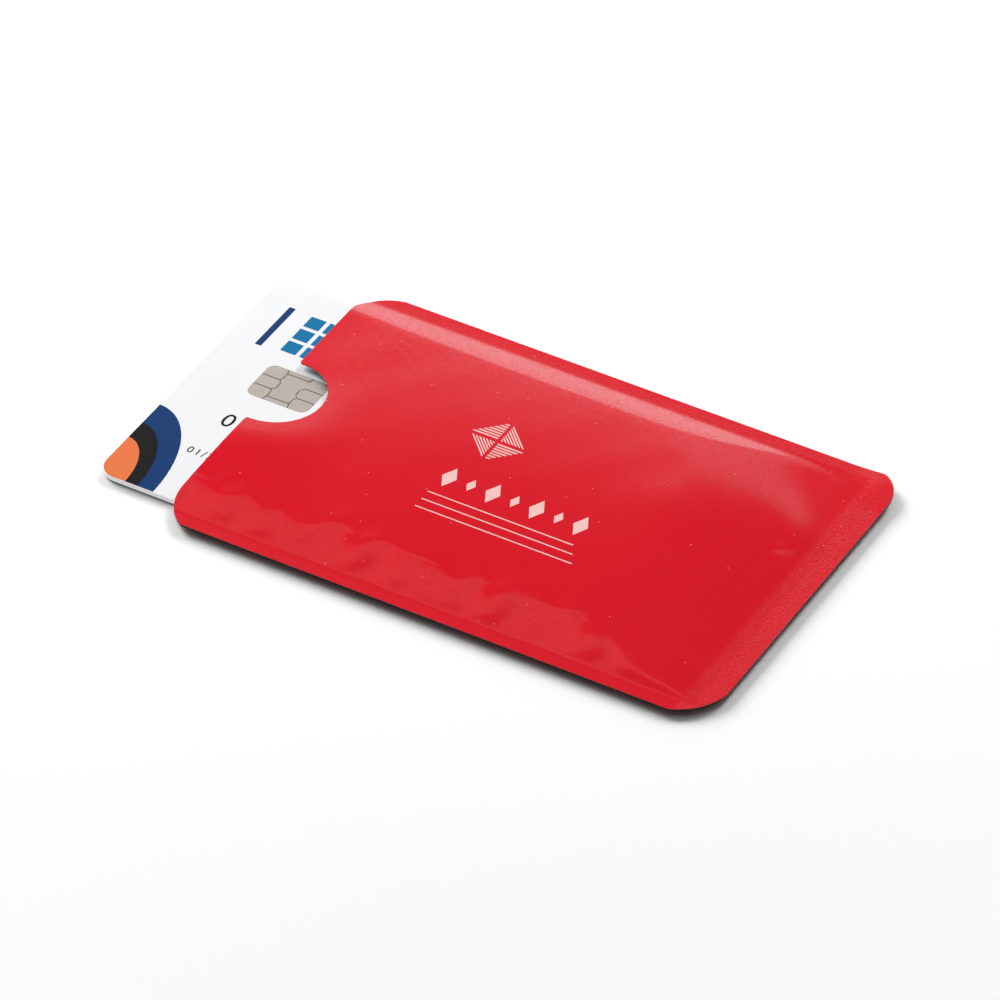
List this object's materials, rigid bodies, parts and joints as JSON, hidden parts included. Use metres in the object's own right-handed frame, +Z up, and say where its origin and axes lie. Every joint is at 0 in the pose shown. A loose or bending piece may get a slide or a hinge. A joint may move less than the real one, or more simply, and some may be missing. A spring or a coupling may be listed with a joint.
{
  "type": "rfid blocking card holder",
  "caption": "Flat RFID-blocking sleeve of foil laminate with heat-sealed edges, a thumb notch in its open mouth, and a contactless chip card that slides in and out.",
  "frame": {"origin": "middle of the sleeve's flat back face, on which it rests", "axes": "+X along the sleeve from its open mouth to its closed end, +Y across it to the long edge at the rear, +Z up out of its front face"},
  "size_m": [0.1078, 0.063, 0.0023],
  "materials": {
    "printed_film": "glossy red printed film",
    "shield_foil": "rolled aluminium foil",
    "seal_liner": "silvery heat-seal liner",
    "fused_liner": "melted liner bead",
    "card_overlay": "clear gloss over printed white",
    "card_stock": "white card stock",
    "inlay_stock": "white inlay stock",
    "magnetic_tape": "dark brown magnetic tape",
    "signature_paper": "matt paper-like strip",
    "antenna_copper": "etched copper",
    "module_tape": "glass-epoxy tape",
    "silicon": "polished silicon",
    "module_resin": "black potting resin",
    "contact_plating": "nickel and pale gold plating, satin"
  },
  "bodies": {
    "sleeve": {"front_film": "printed_film", "front_foil": "shield_foil", "front_liner": "seal_liner", "back_film": "printed_film", "back_foil": "shield_foil", "back_liner": "seal_liner", "rear_side_weld": "fused_liner", "front_side_weld": "fused_liner", "end_weld": "fused_liner"},
    "card": {"card_front_overlay": "card_overlay", "card_front_sheet": "card_stock", "card_inlay": "inlay_stock", "card_back_sheet": "card_stock", "card_back_overlay": "card_overlay", "magnetic_stripe": "magnetic_tape", "signature_panel": "signature_paper", "antenna_coil": "antenna_copper", "antenna_bridge": "antenna_copper", "chip_tape": "module_tape", "chip_die": "silicon", "chip_encapsulant": "module_resin", "contact_supply": "contact_plating", "contact_reset": "contact_plating", "contact_clock": "contact_plating", "contact_ground": "contact_plating", "contact_spare": "contact_plating", "contact_data": "contact_plating", "contact_rear_strip": "contact_plating", "contact_front_strip": "contact_plating"}
  },
  "joints": [
    {"name": "card_slide", "type": "slide", "parent": "sleeve", "child": "card", "axis": [-1, 0, 0], "range_m": [-0.0143, 0.075]}
  ]
}
